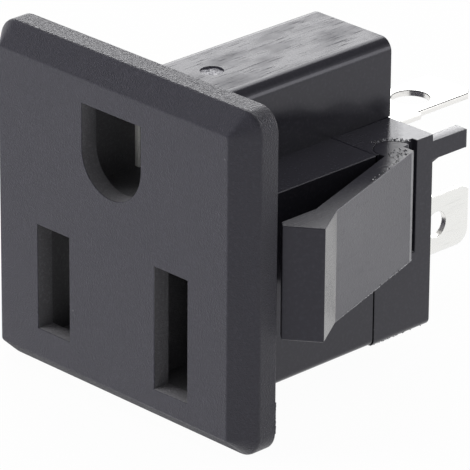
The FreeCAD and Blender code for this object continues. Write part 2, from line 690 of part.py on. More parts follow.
def build_earth_contact(doc):
    """One folded strip: a base with two sprung jaws, a step down and a flat tab."""
    body = new_body(doc, "ground_contact")
    left, right = two_sides(f"({EARTH_BASE} / 2)")
    corners = (left, "(Sizes.jaw_setback + Sizes.earth_mouth)", right, JAW_END)
    block(body, "Base", TOP_VIEW, BASE_LOW, corners, "Sizes.strip")
    for side, name in ((RIGHT, "RightJaw"), (LEFT, "LeftJaw")):
        jaw = sketch_on(body, name, TOP_VIEW, BASE_LOW)
        jaw_outline(jaw, side, "(Sizes.pin_gap / 2)", -1, "Sizes.earth_mouth")
        solid = pad(body, jaw, "Sizes.earth_jaw_height")
    round_bends(body, solid, BASE_LOW, (left, right))
    build_earth_strip(body)
    trim_earth_strip(body)
    return body


def build_earth_strip(body):
    """The strip behind the jaws, from the side: base, step and tab."""
    step_start = "(Sizes.housing_depth + Sizes.joggle_inset)"
    step_end = f"({step_start} + Sizes.joggle / tan(Sizes.joggle_angle))"
    lean = "(Sizes.strip * tan(Sizes.joggle_angle / 2))"
    end = f"({COVER_BACK} + Sizes.earth_tab_reach)"
    side_view = sketch_on(body, "Strip", SIDE_VIEW, f"-{EARTH_BASE} / 2")
    lower = [
        (JAW_END, BASE_LOW),
        (step_start, BASE_LOW),
        (step_end, STRIP_LOW),
        (end, STRIP_LOW),
    ]
    upper = [
        (end, f"{STRIP_LOW} + Sizes.strip"),
        (f"{step_end} + {lean}", f"{STRIP_LOW} + Sizes.strip"),
        (f"{step_start} + {lean}", f"{BASE_LOW} + Sizes.strip"),
        (JAW_END, f"{BASE_LOW} + Sizes.strip"),
    ]
    outline(side_view, lower + upper)
    pad(body, side_view, EARTH_BASE)


def trim_earth_strip(body):
    """Narrow the strip to its shoulder and its tab, and cut the tab's hole."""
    end = f"({COVER_BACK} + Sizes.earth_tab_reach)"
    shoulder_end = f"({COVER_BACK} + Sizes.shoulder_reach)"
    base = f"({EARTH_BASE} / 2)"
    shoulder = f"({base} - Sizes.shoulder_inset)"
    tab = f"({shoulder} - Sizes.tab_inset)"
    waste = sketch_on(body, "StripSides", TOP_VIEW, STRIP_LOW)
    for side in (RIGHT, LEFT):
        points = [
            (base, COVER_INSIDE),
            (shoulder, COVER_INSIDE),
            (shoulder, shoulder_end),
            (tab, shoulder_end),
            (tab, f"{end} - Sizes.earth_clip"),
            (f"{tab} - Sizes.earth_clip", end),
            (base, end),
        ]
        outline(waste, [(sided(side, x), y) for x, y in points])
    pocket(body, waste, "Sizes.strip", True)
    hole = sketch_on(body, "EarthTabHole", TOP_VIEW, STRIP_LOW)
    circle(hole, ("0", f"{COVER_BACK} + Sizes.earth_hole_reach"), "Sizes.earth_hole")
    pocket(body, hole, "Sizes.strip", True)


def check_model(doc, bodies):
    """Stop if any object failed or any piece isn't one valid solid."""
    for item in doc.Objects:
        if {"Invalid", "Error"} & set(item.State):
            raise ValueError(f"{item.Label} failed: {item.State}")
    for body in bodies:
        shape = body.Shape
        if shape.isNull() or not shape.isValid() or len(shape.Solids) != 1:
            raise ValueError(f"{body.Label} is not one valid solid")


def main():
    doc = FreeCAD.newDocument("PowerSocket")
    make_sheet(doc)
    bodies = [
        build_front_housing(doc),
        build_rear_cover(doc),
        build_latch(doc, RIGHT),
        build_latch(doc, LEFT),
        build_blade_contact(doc, LEFT),
        build_blade_contact(doc, RIGHT),
        build_earth_contact(doc),
    ]
    doc.recompute()
    check_model(doc, bodies)
    os.makedirs("parts", exist_ok=True)
    for body in bodies:
        body.Shape.exportStep(f"parts/{body.Label}.step")
        box = body.Shape.BoundBox
        print(body.Label, round(body.Shape.Volume, 2), len(body.Shape.Faces),
              [round(value, 2) for value in (box.XMin, box.XMax, box.YMin, box.YMax,
                                             box.ZMin, box.ZMax)])


main()
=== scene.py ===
"""Panel mount power socket: a black housing and rear cover, two snap latches and three contacts.

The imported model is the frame. Each kind of piece has its own operator, and so has the stage.
"""

import json
import math
from collections import Counter

import bmesh
import bpy
from bpy.props import FloatProperty, FloatVectorProperty, IntProperty, PointerProperty
from bpy.types import Operator, Panel, PropertyGroup
from mathutils import Matrix, Vector
from mathutils.geometry import delaunay_2d_cdt

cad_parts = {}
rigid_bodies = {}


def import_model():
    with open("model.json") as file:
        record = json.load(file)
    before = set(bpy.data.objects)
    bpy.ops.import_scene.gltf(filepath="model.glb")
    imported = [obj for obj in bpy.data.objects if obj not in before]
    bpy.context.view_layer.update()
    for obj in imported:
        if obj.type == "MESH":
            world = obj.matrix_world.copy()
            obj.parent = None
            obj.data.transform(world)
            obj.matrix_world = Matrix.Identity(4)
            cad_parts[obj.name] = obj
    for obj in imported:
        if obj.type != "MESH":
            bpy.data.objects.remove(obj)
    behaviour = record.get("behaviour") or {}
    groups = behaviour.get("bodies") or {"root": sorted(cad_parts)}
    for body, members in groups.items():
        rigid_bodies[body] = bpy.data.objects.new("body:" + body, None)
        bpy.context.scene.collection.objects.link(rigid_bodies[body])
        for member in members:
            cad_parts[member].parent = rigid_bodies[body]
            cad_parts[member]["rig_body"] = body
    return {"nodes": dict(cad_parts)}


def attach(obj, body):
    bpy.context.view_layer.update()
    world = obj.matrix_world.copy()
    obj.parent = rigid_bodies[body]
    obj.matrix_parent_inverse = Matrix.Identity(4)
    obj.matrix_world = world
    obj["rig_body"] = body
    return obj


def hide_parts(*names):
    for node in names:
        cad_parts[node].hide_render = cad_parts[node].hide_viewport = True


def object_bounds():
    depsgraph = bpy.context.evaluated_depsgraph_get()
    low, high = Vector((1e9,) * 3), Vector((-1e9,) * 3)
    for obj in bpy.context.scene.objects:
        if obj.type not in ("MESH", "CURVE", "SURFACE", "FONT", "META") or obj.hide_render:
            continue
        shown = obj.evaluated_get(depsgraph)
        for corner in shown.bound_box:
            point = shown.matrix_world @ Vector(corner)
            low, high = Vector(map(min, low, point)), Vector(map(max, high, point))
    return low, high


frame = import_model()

bl_info = {
    "name": "Panel Mount Power Socket",
    "version": (1, 0, 0),
    "blender": (4, 5, 0),
    "location": "View3D > Sidebar > Power Socket",
    "description": "Finishes a moulded power socket, its latches and its tinned contacts",
    "category": "Add Mesh",
}

CAD_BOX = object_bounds()
MM = 0.001

# Places on the socket, in millimetres
FLANGE_BACK = 0.0
FLANGE_SIDE = 13.85
FLANGE_TOP = 13.6
FACE_SIDE = 12.23
FACE_TOP = 11.98
FACE_Y = -3.45
TOWER_TOP = 10.6
BODY_SIDE = 9.05
BODY_TOP = 4.3
DUST_SCALE = 1.0 / (0.35 * MM)
COVER_LOW = -11.45
COVER_CORNER = 0.6
SEAM = 15.0
MARK = (-0.25, 7.0)
ROOT = (9.0, 16.9)
ARM_START = (10.43, 17.36)
ARM_SLOPE = math.tan(math.radians(18.0))
LATCH_LOW = -4.75
HEEL_LINE = 17.25
CHAMBER_START = -1.96
POST_ROUND_START = 24.65
WIDE_TAB_START = 26.45

# The camera's place in millimetres, and its azimuth, elevation and roll in degrees
CAMERA_PLACE = (245.707, -230.737, 147.457)
CAMERA_TURN = (45.674, 23.694, 0.416)

# Colours that the photo shows where the user's colour doesn't reach: painted light in the slots and
# chambers, a painted sheen on the latches' kick strips, dust, pale crumbs and a tint for the gloss
# Painted light: the slot walls and the chambers are paler than the plastic, for light that reaches
# into them
SLOT_PAINTED_LIGHT_COLOUR = Vector((0.17, 0.168, 0.178))
CHAMBER_PAINTED_LIGHT_COLOUR = Vector((0.11, 0.11, 0.115))
# Painted sheen: a paler, warmer grey for the latches' kick strips, which look bright where they are
# seen at a grazing angle
KICK_SHEEN_COLOUR = Vector((0.06, 0.056, 0.05))
DUST_COLOUR = (0.16, 0.16, 0.17)
PALE_CRUMB_COLOUR = (0.8, 0.8, 0.82)
GLOSS_TINT = (0.92, 0.91, 1.0, 1.0)


# Properties


class SocketPlasticSettings(PropertyGroup):
    """The black plastic of the housing, the cover and the latches."""

    colour: FloatVectorProperty(
        name="Colour",
        description="Colour of the moulded plastic",
        subtype="COLOR",
        size=3,
        min=0.0,
        max=1.0,
        default=(0.036, 0.035, 0.045),
    )
    edge_radius: FloatProperty(
        name="Edge Radius",
        description="Radius of the flange's outer edges",
        subtype="DISTANCE",
        min=0.0,
        default=0.16 * MM,
    )
    crisp_radius: FloatProperty(
        name="Crisp Radius",
        description="Radius of the other moulded edges",
        subtype="DISTANCE",
        min=0.0,
        default=0.06 * MM,
    )
    heel_radius: FloatProperty(
        name="Heel Radius",
        description="Radius of a latch's upright edge at its heel",
        subtype="DISTANCE",
        min=0.0,
        default=0.12 * MM,
    )
    grain_size: FloatProperty(
        name="Grain Size",
        description="Width of the spark grain on the flange",
        subtype="DISTANCE",
        min=0.0,
        default=0.11 * MM,
    )
    grain_depth: FloatProperty(
        name="Grain Depth",
        description="Depth of the spark grain on the flange",
        subtype="DISTANCE",
        min=0.0,
        default=0.032 * MM,
    )


class SocketFlashSettings(PropertyGroup):
    """The crumbs and threads of plastic that the moulds leave along some edges."""

    crumb_size: FloatProperty(
        name="Crumb Size",
        description="Largest radius of a crumb",
        subtype="DISTANCE",
        min=0.0,
        default=0.1 * MM,
    )
    thread_size: FloatProperty(
        name="Thread Size",
        description="Largest radius of a thread",
        subtype="DISTANCE",
        min=0.0,
        default=0.06 * MM,
    )
    seed: IntProperty(
        name="Seed",
        description="Number that fixes where the crumbs fall",
        min=0,
        default=7,
    )


class SocketContactSettings(PropertyGroup):
    """The tinned strip of the contacts."""

    colour: FloatVectorProperty(
        name="Colour",
        description="Colour of the tin plating",
        subtype="COLOR",
        size=3,
        min=0.0,
        max=1.0,
        default=(0.86, 0.86, 0.84),
    )
    cut_colour: FloatVectorProperty(
        name="Cut Colour",
        description="Colour of the strip's cut edges, which have no plating",
        subtype="COLOR",
        size=3,
        min=0.0,
        max=1.0,
        default=(0.88, 0.87, 0.85),
    )
    edge_radius: FloatProperty(
        name="Edge Radius",
        description="Radius left by the stamping on the strip's edges",
        subtype="DISTANCE",
        min=0.0,
        default=0.06 * MM,
    )


class SocketStageSettings(PropertyGroup):
    """The floor, the lamps and the camera."""

    floor_colour: FloatVectorProperty(
        name="Floor Colour",
        description="Colour of the pale floor",
        subtype="COLOR",
        size=3,
        min=0.0,
        max=1.0,
        default=(0.9, 0.9, 0.9),
    )
    lens: FloatProperty(
        name="Lens",
        description="Focal length of the camera",
        unit="CAMERA",
        min=1.0,
        default=381.73,
    )


# Meshes

CORNER_ANGLE = math.radians(29)
FOLD_ANGLE = math.radians(8)
SHARP_ANGLE = math.radians(62)
MERGE_ANGLE = math.radians(0.6)
MERGE_REACH = 0.001 * MM
FOLD_ROOM = 0.8 * MM
ROOM_SHARE = 0.42
SAME_PLANE = 0.9999995

# Flat regions from these areas on, in square millimetres, are tiled anew and lead the shading
TILED_AREA = 0.05
BROAD_AREA = 6.0
FACE_STRENGTH = "__mod_weightednormals_faceweight"
STRONG = 16384


def flat_regions(bm):
    """Lists the groups of faces that lie in one plane and touch, each with its normal and area."""
    seen = set()
    regions = []
    for face in bm.faces:
        if face in seen:
            continue
        seen.add(face)
        waiting = [face]
        region = [face]
        while waiting:
            for edge in waiting.pop().edges:
                for other in edge.link_faces:
                    if other not in seen and face.normal.dot(other.normal) > SAME_PLANE:
                        seen.add(other)
                        waiting.append(other)
                        region.append(other)
        area = sum(face.calc_area() for face in region) / (MM * MM)
        regions.append((region, face.normal.copy(), area))
    return regions


def is_inside(point, segments):
    """Says whether a point lies within the outline that the segments draw, holes left out."""
    crossings = 0
    for a, b in segments:
        if (a.y > point.y) != (b.y > point.y):
            if point.x < a.x + (point.y - a.y) / (b.y - a.y) * (b.x - a.x):
                crossings += 1
    return crossings % 2 == 1


def tile_region(bm, region, normal):
    """Replaces the faces of a flat region by triangles that leave its holes open.

    Where the triangles don't close up with their neighbours, the faces stay as they are.
    """
    members = set(region)
    edges = {edge for face in region for edge in face.edges}
    rim = [e for e in edges if sum(face in members for face in e.link_faces) == 1]
    rim.sort(key=lambda e: e.index)
    verts = sorted({v for e in rim for v in e.verts}, key=lambda v: v.index)
    number = {v: i for i, v in enumerate(verts)}
    flatten = normal.rotation_difference(Vector((0, 0, 1))).to_matrix()
    points = [(flatten @ v.co).xy / MM for v in verts]
    pairs = [(number[e.verts[0]], number[e.verts[1]]) for e in rim]
    _, _, triangles, origins, _, _ = delaunay_2d_cdt(points, pairs, [], 0, 1e-7)
    if any(not origin for origin in origins):
        return
    segments = [(points[a], points[b]) for a, b in pairs]
    corners = []
    uses = Counter()
    for triangle in triangles:
        found = [origins[i][0] for i in triangle]
        centre = sum((points[i] for i in found), Vector((0, 0))) / 3
        if is_inside(centre, segments):
            corners.append([verts[i] for i in found])
            uses.update(tuple(sorted(pair)) for pair in zip(found, found[1:] + found[:1]))
    wanted = dict.fromkeys(uses, 2)
    wanted.update({tuple(sorted(pair)): 1 for pair in pairs})
    if dict(uses) != wanted:
        return
    bmesh.ops.delete(bm, geom=region, context="FACES_ONLY")
    bmesh.ops.delete(bm, geom=[e for e in edges - set(rim) if not e.link_faces], context="EDGES")
    for triangle in corners:
        made = bm.faces.new(triangle)
        made.normal_update()
        if made.normal.dot(normal) < 0:
            made.normal_flip()


def room_beside(edge, face):
    """Measures how far a face reaches from one of its edges before it meets another of them."""
    start = edge.verts[0].co
    along = edge.verts[1].co - start
    length = along.length
    along = along / length
    inward = face.normal.cross(along)
    nearest = length * 1000
    for other in face.edges:
        if other is edge:
            continue
        shared = set(other.verts) & set(edge.verts)
        if shared:
            far = other.other_vert(shared.pop()).co - start
            away = abs(far.dot(inward))
            if away > 0.5 * other.calc_length():
                nearest = min(nearest, away)
            continue
        a, b = (vert.co - start for vert in other.verts)
        ends = sorted(((p.dot(along), abs(p.dot(inward))) for p in (a, b)), key=lambda end: end[0])
        (low, low_away), (high, high_away) = ends
        if high <= 0 or low >= length:
            continue
        for stop in (max(low, 0.0), min(high, length)):
            share = (stop - low) / (high - low) if high > low else 0.0
            nearest = min(nearest, low_away + share * (high_away - low_away))
    return nearest


def is_rounded(edge, room):
    """Says whether an edge is a real corner, and not a line between the facets of a curve."""
    angle = edge.calc_face_angle()
    return angle > CORNER_ANGLE or (angle > FOLD_ANGLE and room > FOLD_ROOM)


def weigh_edges(bm, radius, radius_at):
    """Gives each outer corner its share of the radius, and marks the inner corners sharp."""
    weight = bm.edges.layers.float.new("bevel_weight_edge")
    for edge in bm.edges:
        room = min(room_beside(edge, face) for face in edge.link_faces)
        if not is_rounded(edge, room):
            continue
        if edge.is_convex:
            middle = (edge.verts[0].co + edge.verts[1].co) / 2
            wanted = radius_at(middle) if radius_at else radius
            edge[weight] = min(wanted, ROOM_SHARE * room) / radius
        else:
            edge.smooth = False


def settle_faces(bm):
    """Tiles the flat regions, and lets the broadest ones lead the shading of their neighbours."""
    bm.normal_update()
    for region, normal, area in flat_regions(bm):
        if area > TILED_AREA:
            tile_region(bm, region, normal)
    bmesh.ops.triangulate(bm, faces=[face for face in bm.faces if len(face.verts) > 4])
    bm.normal_update()
    for edge in bm.edges:
        if edge.calc_face_angle(0) > SHARP_ANGLE:
            edge.smooth = False
    strength = bm.faces.layers.int.new(FACE_STRENGTH)
    for region, _, area in flat_regions(bm):
        for face in region:
            face[strength] = STRONG if area > BROAD_AREA else 0 if area > TILED_AREA else -STRONG


def apply_modifiers(piece):
    """Gives a piece the plain mesh that its modifiers make, and removes them."""
    bpy.context.view_layer.update()
    graph = bpy.context.evaluated_depsgraph_get()
    mesh = bpy.data.meshes.new_from_object(piece.evaluated_get(graph))
    mesh.name = piece.name
    piece.modifiers.clear()
    piece.data = mesh
    return mesh


def rounded_copy(node, radius, name, radius_at=None):
    """Makes a closed copy of a CAD node with rounded edges, as a mould or a press leaves them.

    radius_at gives a smaller radius for an edge from its middle.
    """
    bm = bmesh.new()
    bm.from_mesh(frame["nodes"][node].data)
    bmesh.ops.remove_doubles(bm, verts=bm.verts, dist=MERGE_REACH)
    bmesh.ops.dissolve_limit(bm, angle_limit=MERGE_ANGLE, verts=bm.verts, edges=bm.edges)
    weigh_edges(bm, radius, radius_at)
    rough = bpy.data.meshes.new(name)
    bm.to_mesh(rough)
    bm.free()
    piece = bpy.data.objects.new(name, rough)
    bpy.context.scene.collection.objects.link(piece)
    rounding = piece.modifiers.new("Rounding", "BEVEL")
    rounding.limit_method = "WEIGHT"
    rounding.width = radius
    rounding.segments = 2
    rounding.use_clamp_overlap = False
    rounding.loop_slide = False
    mesh = apply_modifiers(piece)
    bm = bmesh.new()
    bm.from_mesh(mesh)
    settle_faces(bm)
    bm.to_mesh(mesh)
    bm.free()
    mesh.shade_smooth()
    weighted = piece.modifiers.new("Even Shading", "WEIGHTED_NORMAL")
    weighted.weight = 50
    weighted.keep_sharp = True
    weighted.use_face_influence = True
    weighted.mode = "CORNER_ANGLE"
    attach(piece, frame["nodes"][node]["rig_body"])
    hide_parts(node)
    return piece


# Shader nodes


def add_node(tree, kind, inputs=None, **settings):
    """Adds a node, applies its settings, and fills or links its inputs."""
    node = tree.nodes.new(kind)
    for name, value in settings.items():
        setattr(node, name, value)
    for name, value in (inputs or {}).items():
        if isinstance(value, bpy.types.NodeSocket):
            tree.links.new(value, node.inputs[name])
        else:
            node.inputs[name].default_value = value
    return node


def maths(tree, operation, *values):
    """Adds a math node and gives its result."""
    return add_node(tree, "ShaderNodeMath", dict(enumerate(values)), operation=operation).outputs[0]


def vector_maths(tree, operation, *values):
    """Adds a vector math node and gives its result."""
    inputs = dict(enumerate(values))
    return add_node(tree, "ShaderNodeVectorMath", inputs, operation=operation).outputs[0]


def scaled(tree, vector, factor):
    """Adds a node that makes a vector longer or shorter, and gives its result."""
    inputs = {0: vector, "Scale": factor}
    return add_node(tree, "ShaderNodeVectorMath", inputs, operation="SCALE").outputs[0]


def remap(tree, value, start, end, low=0.0, high=1.0):
    """Adds a node that turns start to end into low to high, and gives its result."""
    inputs = {"Value": value, "From Min": start, "From Max": end, "To Min": low, "To Max": high}
    return add_node(tree, "ShaderNodeMapRange", inputs).outputs["Result"]


def start_group(name, inputs, outputs):
    """Starts a shader node group: its inputs, its number outputs and the nodes at its two ends."""
    group = bpy.data.node_groups.new(name, "ShaderNodeTree")
    for socket, kind, default in inputs:
        made = group.interface.new_socket(socket, in_out="INPUT", socket_type=kind)
        if default is not None:
            made.default_value = default
    for socket in outputs:
        group.interface.new_socket(socket, in_out="OUTPUT", socket_type="NodeSocketFloat")
    source = group.nodes.new("NodeGroupInput")
    target = group.nodes.new("NodeGroupOutput")
    return group, source, target


def spark_grain_group():
    """Builds the grain that spark erosion leaves in a mould: fine bumps, with pits among them."""
    group, source, target = start_group(
        "Spark Grain",
        [("Vector", "NodeSocketVector", None), ("Size", "NodeSocketFloat", 0.0001)],
        ["Height", "Specks"],
    )
    scale = maths(group, "DIVIDE", 1.0, source.outputs["Size"])
    place = {"Vector": source.outputs["Vector"], "Scale": scale}
    fine = add_node(group, "ShaderNodeTexNoise", {**place, "Detail": 3.0, "Roughness": 0.6})
    pits = add_node(group, "ShaderNodeTexVoronoi", {**place, "Randomness": 1.0})
    height = maths(group, "ADD", fine.outputs["Fac"], pits.outputs["Distance"])
    place["Scale"] = maths(group, "MULTIPLY", scale, 0.5)
    coarse = add_node(group, "ShaderNodeTexNoise", {**place, "Detail": 3.0})
    specks = remap(group, coarse.outputs["Fac"], 0.5, 0.72)
    group.links.new(height, target.inputs["Height"])
    group.links.new(specks, target.inputs["Specks"])
    return group


def streak_group():
    """Builds fine lines that run the way the mould opens, and a slow change between patches."""
    group, source, target = start_group(
        "Draw Streaks",
        [("Vector", "NodeSocketVector", None), ("Size", "NodeSocketFloat", 0.0001)],
        ["Height", "Lines", "Patches"],
    )
    scale = maths(group, "DIVIDE", 1.0, source.outputs["Size"])
    stretched = vector_maths(group, "MULTIPLY", source.outputs["Vector"], (1.0, 0.04, 1.0))
    place = {"Vector": stretched, "Scale": scale}
    noise = add_node(group, "ShaderNodeTexNoise", {**place, "Detail": 3.0, "Roughness": 0.6})
    lines = remap(group, noise.outputs["Fac"], 0.58, 0.74)
    place["Scale"] = maths(group, "MULTIPLY", scale, 0.07)
    place["Vector"] = vector_maths(group, "MULTIPLY", source.outputs["Vector"], (1.0, 0.4, 1.0))
    patches = add_node(group, "ShaderNodeTexNoise", {**place, "Detail": 3.0})
    group.links.new(noise.outputs["Fac"], target.inputs["Height"])
    group.links.new(lines, target.inputs["Lines"])
    group.links.new(patches.outputs["Fac"], target.inputs["Patches"])
    return group


def dust_group():
    """Builds a mask of a few tiny pale dots, as dust and the marks of a used mould leave them."""
    group, source, target = start_group(
        "Dust Dots",
        [("Vector", "NodeSocketVector", None), ("Share", "NodeSocketFloat", 0.03)],
        ["Dots"],
    )
    cells = add_node(
        group,
        "ShaderNodeTexVoronoi",
        {"Vector": source.outputs["Vector"], "Scale": DUST_SCALE, "Randomness": 1.0},
    )
    rare = maths(group, "LESS_THAN", cells.outputs["Color"], source.outputs["Share"])
    small = remap(group, cells.outputs["Distance"], 0.12, 0.28, 1.0, 0.0)
    group.links.new(maths(group, "MULTIPLY", rare, small), target.inputs["Dots"])
    return group


def painted_highlight_group():
    """Builds a painted highlight: a mask that grows paler towards the rear, and also outwards where
    Slant isn't 0.
    """
    group, source, target = start_group(
        "Painted Highlight",
        [
            ("Vector", "NodeSocketVector", None),
            ("Start", "NodeSocketFloat", 0.0),
            ("Width", "NodeSocketFloat", 0.0001),
            ("Slant", "NodeSocketFloat", 0.0),
        ],
        ["Line"],
    )
    place = add_node(group, "ShaderNodeSeparateXYZ", {"Vector": source.outputs["Vector"]})
    outward = maths(group, "ABSOLUTE", place.outputs["X"])
    along = maths(group, "MULTIPLY_ADD", outward, source.outputs["Slant"], place.outputs["Y"])
    patchy = add_node(
        group,
        "ShaderNodeTexNoise",
        {"Vector": source.outputs["Vector"], "Scale": 1.0 / (0.5 * MM), "Detail": 4.0},
    )
    width = source.outputs["Width"]
    ragged = maths(group, "MULTIPLY_ADD", patchy.outputs["Fac"], width, source.outputs["Start"])
    past = maths(group, "SUBTRACT", along, ragged)
    group.links.new(remap(group, past, 0.0, width), target.inputs["Line"])
    return group


def use_group(tree, name, build, **values):
    """Places a shader node group in a material, at Object coordinates. It is built only once."""
    node = add_node(tree, "ShaderNodeGroup", node_tree=bpy.data.node_groups.get(name) or build())
    place = tree.nodes.get("Texture Coordinate") or tree.nodes.new("ShaderNodeTexCoord")
    tree.links.new(place.outputs["Object"], node.inputs["Vector"])
    for socket, value in values.items():
        node.inputs[socket].default_value = value
    return node


def mix_colours(tree, share, first, second):
    """Mixes two colours, or a socket and a colour, by a mask."""
    mix = tree.nodes.new("ShaderNodeMix")
    mix.data_type = "RGBA"
    tree.links.new(share, mix.inputs[0])
    for socket, value in ((mix.inputs[6], first), (mix.inputs[7], second)):
        if isinstance(value, bpy.types.NodeSocket):
            tree.links.new(value, socket)
        else:
            socket.default_value = (*value, 1.0)
    return mix.outputs[2]


def bumped(tree, height, depth, **inputs):
    """Adds a bump node and gives its normal."""
    inputs = {"Height": height, "Distance": depth, **inputs}
    return add_node(tree, "ShaderNodeBump", inputs).outputs["Normal"]


def plastic_material(name, colour, grain, streaks, roughness, dust=0.03, ior=1.46, painted_highlight=None):
    """Makes a moulded black plastic.

    Grain and streaks are each a size and a depth in metres. Roughness is its least and most.
    painted_highlight is where a painted highlight starts, its width, its slant outwards and its
    grey level.
    """
    material = bpy.data.materials.new(name)
    material.use_nodes = True
    tree = material.node_tree
    surface = tree.nodes["Principled BSDF"]
    sparks = use_group(tree, "Spark Grain", spark_grain_group, Size=grain[0])
    drawn = use_group(tree, "Draw Streaks", streak_group, Size=streaks[0])
    dots = use_group(tree, "Dust Dots", dust_group, Share=dust)
    normal = bumped(tree, sparks.outputs["Height"], grain[1])
    normal = bumped(tree, drawn.outputs["Height"], streaks[1], Normal=normal)
    polish = maths(tree, "ADD", drawn.outputs["Lines"], drawn.outputs["Patches"])
    rough = remap(tree, polish, 0.35, 1.1, *roughness)
    tint = mix_colours(tree, sparks.outputs["Specks"], colour, colour * 1.35)
    tint = mix_colours(tree, dots.outputs["Dots"], tint, DUST_COLOUR)
    if painted_highlight:
        start, width, slant, level = painted_highlight
        # Painted highlight: paler towards the rear and outwards, where a glossy face mirrors the
        # bright backdrop or catches a glint
        highlit = use_group(tree, "Painted Highlight", painted_highlight_group, Start=start, Width=width, Slant=slant)
        tint = mix_colours(tree, highlit.outputs["Line"], tint, (level, level, 1.03 * level))
    tree.links.new(tint, surface.inputs["Base Color"])
    tree.links.new(rough, surface.inputs["Roughness"])
    tree.links.new(normal, surface.inputs["Normal"])
    surface.inputs["IOR"].default_value = ior
    surface.inputs["Specular Tint"].default_value = GLOSS_TINT
    return material


def tin_material(name, colour, roughness=(0.15, 0.4)):
    """Makes the metal of the rolled strip, from its least to its most roughness."""
    material = bpy.data.materials.new(name)
    material.use_nodes = True
    tree = material.node_tree
    surface = tree.nodes["Principled BSDF"]
    drawn = use_group(tree, "Draw Streaks", streak_group, Size=0.15 * MM)
    rough = remap(tree, drawn.outputs["Height"], 0.0, 1.0, *roughness)
    normal = bumped(tree, drawn.outputs["Height"], 0.002 * MM)
    tint = mix_colours(tree, drawn.outputs["Lines"], colour, colour * 0.85)
    tree.links.new(tint, surface.inputs["Base Color"])
    tree.links.new(rough, surface.inputs["Roughness"])
    tree.links.new(normal, surface.inputs["Normal"])
    surface.inputs["Metallic"].default_value = 1.0
    return material


# Mould flash

CRUMBS_PER_SQUARE_METRE = 1.0 / (MM * MM)


def flash_tree():
    """Builds the tree that scatters crumbs on faces and runs ragged threads along loose edges."""
    tree = bpy.data.node_groups.new("Mould Flash", "GeometryNodeTree")
    for name, kind in (
        ("Geometry", "NodeSocketGeometry"),
        ("Crumb Size", "NodeSocketFloat"),
        ("Thread Size", "NodeSocketFloat"),
        ("Seed", "NodeSocketInt"),
        ("Material", "NodeSocketMaterial"),
    ):
        tree.interface.new_socket(name, in_out="INPUT", socket_type=kind)
    tree.interface.new_socket("Geometry", in_out="OUTPUT", socket_type="NodeSocketGeometry")
    source = tree.nodes.new("NodeGroupInput").outputs
    share = add_node(tree, "GeometryNodeInputNamedAttribute", {"Name": "crumbs"}, data_type="FLOAT")
    points = add_node(
        tree,
        "GeometryNodeDistributePointsOnFaces",
        {"Mesh": source["Geometry"], "Density": share.outputs[0], "Seed": source["Seed"]},
    )
    turn = add_node(
        tree,
        "FunctionNodeRandomValue",
        {0: (0.0, 0.0, 0.0), 1: (math.tau, math.tau, math.tau), "Seed": source["Seed"]},
        data_type="FLOAT_VECTOR",
    )
    shape = add_node(
        tree,
        "FunctionNodeRandomValue",
        {0: (0.3, 0.3, 0.3), 1: (1.0, 1.0, 0.7), "Seed": source["Seed"]},
        data_type="FLOAT_VECTOR",
    )
    crumb = add_node(tree, "GeometryNodeMeshIcoSphere", {"Radius": 1.0, "Subdivisions": 1})
    crumbs = add_node(
        tree,
        "GeometryNodeInstanceOnPoints",
        {
            "Points": points.outputs["Points"],
            "Instance": crumb.outputs["Mesh"],
            "Rotation": turn.outputs[0],
            "Scale": scaled(tree, shape.outputs[0], source["Crumb Size"]),
        },
    )
    beside = add_node(tree, "GeometryNodeInputMeshEdgeNeighbors")
    loose = add_node(
        tree,
        "FunctionNodeCompare",
        {2: beside.outputs["Face Count"], 3: 0},
        data_type="INT",
        operation="EQUAL",
    )
    line = add_node(
        tree,
        "GeometryNodeMeshToCurve",
        {"Mesh": source["Geometry"], "Selection": loose.outputs["Result"]},
    )
    line = add_node(
        tree,
        "GeometryNodeResampleCurve",
        {"Curve": line.outputs["Curve"], "Length": 0.11 * MM},
        mode="LENGTH",
    )
    wander = add_node(tree, "ShaderNodeTexNoise", {"Scale": 1.0 / (0.35 * MM), "Detail": 2.0})
    centred = vector_maths(tree, "SUBTRACT", wander.outputs["Color"], (0.5, 0.5, 0.5))
    offset = scaled(tree, centred, source["Thread Size"])
    line = add_node(
        tree, "GeometryNodeSetPosition", {"Geometry": line.outputs["Curve"], "Offset": offset}
    )
    swell = add_node(
        tree,
        "FunctionNodeRandomValue",
        {2: 0.25, 3: 1.0, "Seed": source["Seed"]},
        data_type="FLOAT",
    )
    profile = add_node(tree, "GeometryNodeCurvePrimitiveCircle", {"Resolution": 6, "Radius": 1.0})
    thread = add_node(
        tree,
        "GeometryNodeCurveToMesh",
        {
            "Curve": line.outputs["Geometry"],
            "Profile Curve": profile.outputs["Curve"],
            "Scale": maths(tree, "MULTIPLY", swell.outputs[1], source["Thread Size"]),
            "Fill Caps": True,
        },
    )
    joined = tree.nodes.new("GeometryNodeJoinGeometry")
    tree.links.new(crumbs.outputs["Instances"], joined.inputs["Geometry"])
    tree.links.new(thread.outputs["Mesh"], joined.inputs["Geometry"])
    smooth = add_node(tree, "GeometryNodeSetShadeSmooth", {"Geometry": joined.outputs["Geometry"]})
    real = add_node(tree, "GeometryNodeRealizeInstances", {"Geometry": smooth.outputs["Geometry"]})
    done = add_node(
        tree,
        "GeometryNodeSetMaterial",
        {"Geometry": real.outputs["Geometry"], "Material": source["Material"]},
    )
    tree.links.new(done.outputs["Geometry"], tree.nodes.new("NodeGroupOutput").inputs[0])
    return tree


